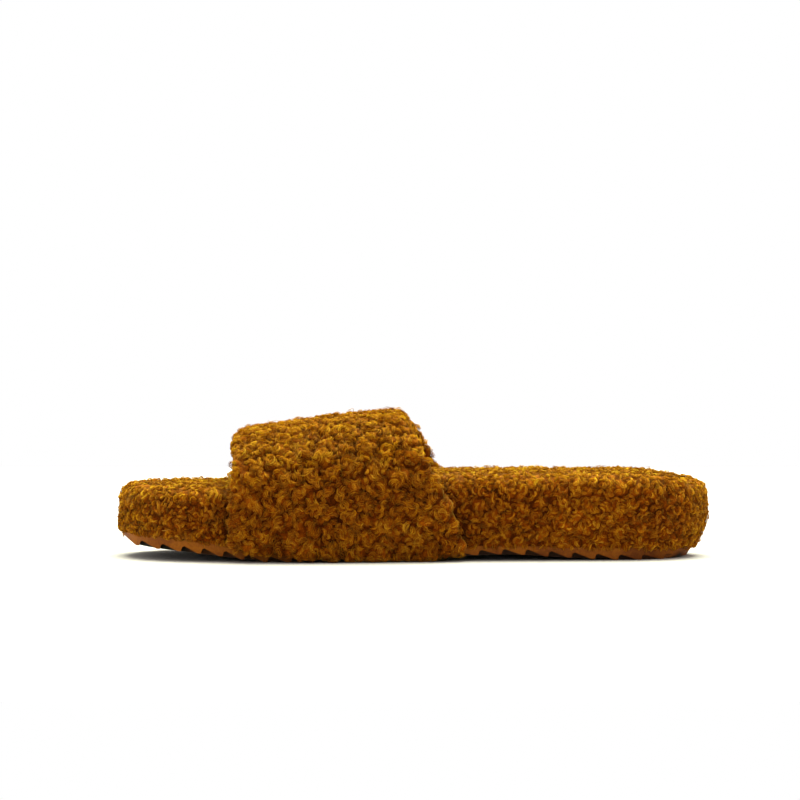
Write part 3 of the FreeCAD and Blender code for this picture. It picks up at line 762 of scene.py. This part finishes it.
def band_edges(t, e):
    """Front and rear y of the strap's skin at each t; e is the distance from the bottom end, for the rounded corners."""
    y0 = np.full(len(t), -84.0)
    y1 = np.full(len(t), 10.0)
    back = 1.3 * smooth((t - 0.5) / 0.2)
    for _ in range(8):
        z0 = on_strap(S_OUT, y0, t)[:, 1]
        z1 = on_strap(S_OUT, y1, t)[:, 1]
        fade = np.clip((58 - z1) / 10, 0, 1)
        y0 = 0.5 * y0 + 0.5 * (front_y(z0) + 1.9 + 0.8 * smooth((z0 - 49) / 7))
        y1 = 0.5 * y1 + 0.5 * (rear_y(z1) - 1.9 + back * fade - 0.5 * (1 - smooth((t - 0.30) / 0.12)) * smooth((z1 - 34) / 8) - 0.3 * smooth((z1 - 59) / 8))
    corner = 3.6
    q = corner * (1 - np.sqrt(np.clip(1 - (1 - np.clip(e / corner, 0, 1)) ** 2, 0, 1)))
    return y0 + q, y1 - q


ROUND = 4.0       # how far the edges' rounding reaches along the strap


def strap_grid(loop):
    """Rows across the strap from one bottom end to the other; columns follow loop: (w, tau, kind) where w runs 0 front to 1 rear."""
    e = np.concatenate([[0.05, 0.35, 0.8, 1.4, 2.1, 2.9], np.arange(3.7, 95.5, 0.8)])
    length = 191.0
    e_all = np.concatenate([e, (length - e)[::-1]])
    t = e_all / length
    near = np.minimum(e_all, length - e_all)
    y0, y1 = band_edges(t, near)
    thick = np.sqrt(np.clip(1 - (1 - np.clip(near / 3.2, 0, 1)) ** 2, 0.0, 1))
    rows = []
    for r in range(len(t)):
        y = np.where(loop[:, 0] <= 0.5, y0[r] + loop[:, 1], y1[r] - loop[:, 1])
        mix = loop[:, 4]
        y = np.where(mix >= 0, y0[r] + ROUND + (y1[r] - y0[r] - 2 * ROUND) * mix, y)
        tau = 0.5 + (loop[:, 2] - 0.5) * thick[r]
        tt = np.full(len(y), t[r])
        a, b = on_strap(S_IN, y, tt), on_strap(S_OUT, y, tt)
        xz = a + (b - a) * tau[:, None]
        rows.append(np.column_stack([xz[:, 0], y, xz[:, 1]]))
    return np.array(rows), near


# loop columns: (0 front / 1 rear, distance from that edge, tau, pile mask, share of the way along or -1)
loop = []
for k in range(121):
    loop.append((0, 0, 1.0, 1, k / 120))
for k in range(1, 13):
    a = math.pi * k / 13
    loop.append((1, ROUND * (1 - math.sin(a)), 0.5 + 0.5 * math.cos(a), 1, -1))
loop += [(1, ROUND, 0.0, 1, -1), (1, ROUND + 0.6, 0.0, 0.5, -1), (1, ROUND + 1.2, 0.15, 0, -1), (1, ROUND + 1.4, 0.40, 0, -1)]
loop += [(0, 0, 0.42, 0, s) for s in (0.9, 0.8, 0.65, 0.5, 0.35, 0.2, 0.1)]
loop += [(0, ROUND + 1.4, 0.40, 0, -1), (0, ROUND + 1.2, 0.15, 0, -1), (0, ROUND + 0.6, 0.0, 0.5, -1), (0, ROUND, 0.0, 1, -1)]
for k in range(12, 0, -1):
    a = math.pi * k / 13
    loop.append((0, ROUND * (1 - math.sin(a)), 0.5 + 0.5 * math.cos(a), 1, -1))
loop = np.array(loop, float)
G, near = strap_grid(loop)
M = np.repeat(loop[None, :, 3], len(G), 0)
hidden = (loop[None, :, 2] < 0.45) & (G[..., 2] < rim_top(G[..., 1]) - 4) & (near[:, None] > 5)
M[hidden] = 0.0
# painted highlight along the strap's front edge and, fainter, along its rear edge
SH = -0.07 * np.exp(-np.clip(G[..., 1] - front_y(G[..., 2]), 0, 99) / 5.0) - 0.03 * np.exp(-np.clip(rear_y(G[..., 2]) - G[..., 1], 0, 99) / 4.0)
strap = fleece("strap_fleece", G, M, False, True, strap_wool, 21, 6.2, 3.4, 2.0,
               dict(K=6, bend=1.5, length=4.6, girth=1.0, strands=14, thick=0.095, rise=0.4, stray=0.12), caps=True, shade=SH)
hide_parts("vamp_outer")

loop2 = [(0, 0, 0.0, 1, k / 100) for k in range(101)]
loop2 = [(0, 0, 0.02, 1, 0.015 + 0.97 * k / 110) for k in range(111)]
loop2 += [(0, 0, 0.34, 0, s) for s in (0.985, 0.8, 0.6, 0.4, 0.2, 0.015)]
loop2 = np.array(loop2, float)
G, near = strap_grid(loop2)
G, near = G[8:-8], near[8:-8]
M = np.repeat(loop2[None, :, 3], len(G), 0)
M[G[..., 2] < rim_top(G[..., 1]) - 4] = 0.0
# painted light: the lining, which sits in the strap's shade, is lightened and tinted golden all over
lining = fleece("strap_lining", G, M, False, True, lining_wool, 22, 4.6, 0.8, 1.9,
                dict(K=6, bend=1.2, length=3.4, girth=0.5, strands=7, thick=0.10, rise=0.2, stray=0.04), caps=True, shade=-0.24, lit_gold_all=0.8)
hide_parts("vamp_lining")

for o in (wrap, sock, strap, lining):
    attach(o, "root")

# ------------------------------------------------------------------ frayed threads at the wrap's hem
rng = np.random.default_rng(31)
K = 9
hem = [(-114.5, 3.2, 5, 1), (-109, 0.2, 8, 1), (-106, 1.6, 6, 1), (41, 0.4, 8, 1), (45, 2.0, 5, 1), (66, 1.2, 9, 1), (72, 0.1, 7, 1), (80, 1.4, 5, 1)]
hem += [(float(rng.choice([rng.uniform(-112, -90), rng.uniform(45, 112)])), float(rng.uniform(0, 2)), float(rng.uniform(4, 9)), -1) for _ in range(10)]
paths = []
for y0, dz, long, sgn in hem:
    y = y0 + long * np.linspace(0, 1, K) + rng.normal(size=K) * 0.25
    z = sole_top(y) + dz + np.sin(np.linspace(0, 1, K) * rng.uniform(4, 9) + rng.uniform(0, 6)) * rng.uniform(0.3, 0.8)
    x = (outer_x(y) if sgn > 0 else inner_x(y)) - env_inset(z) + 0.9 - 0.9 * np.cos(np.linspace(0, 2 * math.pi, K)) * 0.5
    paths.append(np.stack([sgn * x, y, z], 1))
P = np.array(paths)
T = unit(np.gradient(P, axis=1))
B = unit(np.cross(T, np.array([1.0, 0.0, 0.2])))
tv, tq, tt, qa, ta, along_t, n = tubes(P, B, np.cross(T, B), np.full(P.shape[:2], 0.13), 0)
threads = build("hem_threads", tv, [tq, tt], [cell_uv(len(P), qa, (0, 0, 1, 1)), cell_uv(len(P), ta, (0, 0, 1, 1))],
                np.full(len(tv), 0.5), np.full(len(tv), 0.5), np.zeros((len(tv), 3)), plain("hem_thread", (178, 112, 30), (222, 160, 66), 2200.0, 0.8, 0.0001))
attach(threads, "root")

# ------------------------------------------------------------------ floor, light, camera
S = bpy.context.scene
fm, nt, b = new_material("floor")
b.inputs["Base Color"].default_value = (0.51, 0.48, 0.44, 1)
b.inputs["Roughness"].default_value = 0.9
b.inputs["Specular IOR Level"].default_value = 0.1
me = bpy.data.meshes.new("floor")
me.from_pydata([(-0.75, -0.9, 0), (0.75, -0.9, 0), (0.75, 0.9, 0), (-0.75, 0.9, 0)], [], [(0, 1, 2, 3)])
me.materials.append(fm)
floor = bpy.data.objects.new("floor", me)
S.collection.objects.link(floor)

world = bpy.data.worlds.new("studio")
world.use_nodes = True
bg = world.node_tree.nodes["Background"]
bg.inputs[0].default_value = (1.0, 1.0, 1.0, 1)
bg.inputs[1].default_value = 1.0
S.world = world


def area(name, loc, target, size, power, colour=(1, 1, 1)):
    l = bpy.data.lights.new(name, "AREA")
    l.shape, l.size, l.size_y, l.energy, l.color = "RECTANGLE", size[0], size[1], power, colour
    o = bpy.data.objects.new(name, l)
    S.collection.objects.link(o)
    o.location = loc
    d = np.array(target, float) - np.array(loc, float)
    import mathutils
    o.rotation_euler = mathutils.Vector(d).to_track_quat("-Z", "Y").to_euler()
    return o


area("top_softbox", (-0.8, 0.1, 2.1), (0, 0, 0), (2.3, 2.3), 230.0, (0.94, 1.0, 0.84))

PX = 0.000461          # metres to one pixel at the middle of the slipper
EL = math.radians(2.5)
D = 3.0
near = PX * (1 - 0.05 / D)
target = np.array([0.0, (400 - 413) * PX, (563.0 - 400) * near / math.cos(EL) - 0.05 * math.tan(EL)])
pos = target + D * np.array([math.cos(EL), 0, math.sin(EL)])
cam = bpy.data.cameras.new("camera")
cam.sensor_width = 36
cam.lens = 36 / (800 * PX) * D
cam.clip_start, cam.clip_end = 0.05, 50
co = bpy.data.objects.new("camera", cam)
S.collection.objects.link(co)
co.location = pos
co.rotation_euler = (math.pi / 2 - EL, 0, math.pi / 2)
S.camera = co
S.view_settings.view_transform = "Standard"
S.view_settings.look = "None"
S.view_settings.exposure = 0.0

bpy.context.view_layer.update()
print("made in", round(time.time() - T0, 1), "s")
